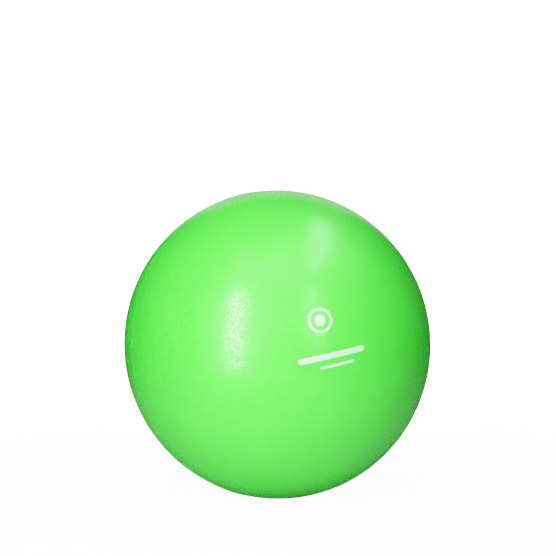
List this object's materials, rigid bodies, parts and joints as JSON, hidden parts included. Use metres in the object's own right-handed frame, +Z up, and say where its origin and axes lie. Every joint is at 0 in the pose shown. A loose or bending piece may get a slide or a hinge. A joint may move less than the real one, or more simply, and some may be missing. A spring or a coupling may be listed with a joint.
{
  "type": "medicine ball",
  "caption": "Soft vinyl medicine ball with a raised parting line, a push-in valve plug at one pole and loose weight inside, resting on a small flat patch.",
  "frame": {"origin": "centre of the flat patch on which the ball rests", "axes": "+Z up, +Y along the mould's axis from the ball's centre towards the valve; the parting line lies in the plane y = 0"},
  "size_m": [0.2206, 0.22, 0.2194],
  "materials": {
    "green_pvc": "satin",
    "soft_valve_vinyl": "matte",
    "hard_plug_plastic": "satin",
    "dark_iron_sand": "matte"
  },
  "bodies": {
    "ball": {"ball_skin": "green_pvc", "valve_housing": "soft_valve_vinyl"},
    "plug": {"valve_plug": "hard_plug_plastic"},
    "fill": {"iron_sand": "dark_iron_sand"}
  },
  "joints": [
    {"name": "plug_pull", "type": "slide", "parent": "ball", "child": "plug", "axis": [0, 1, 0], "range_m": [0, 0.025]},
    {"name": "fill_roll", "type": "hinge", "parent": "ball", "child": "fill", "pos_m": [0, 0, 0.1091], "axis": [0, 1, 0], "continuous": true}
  ]
}
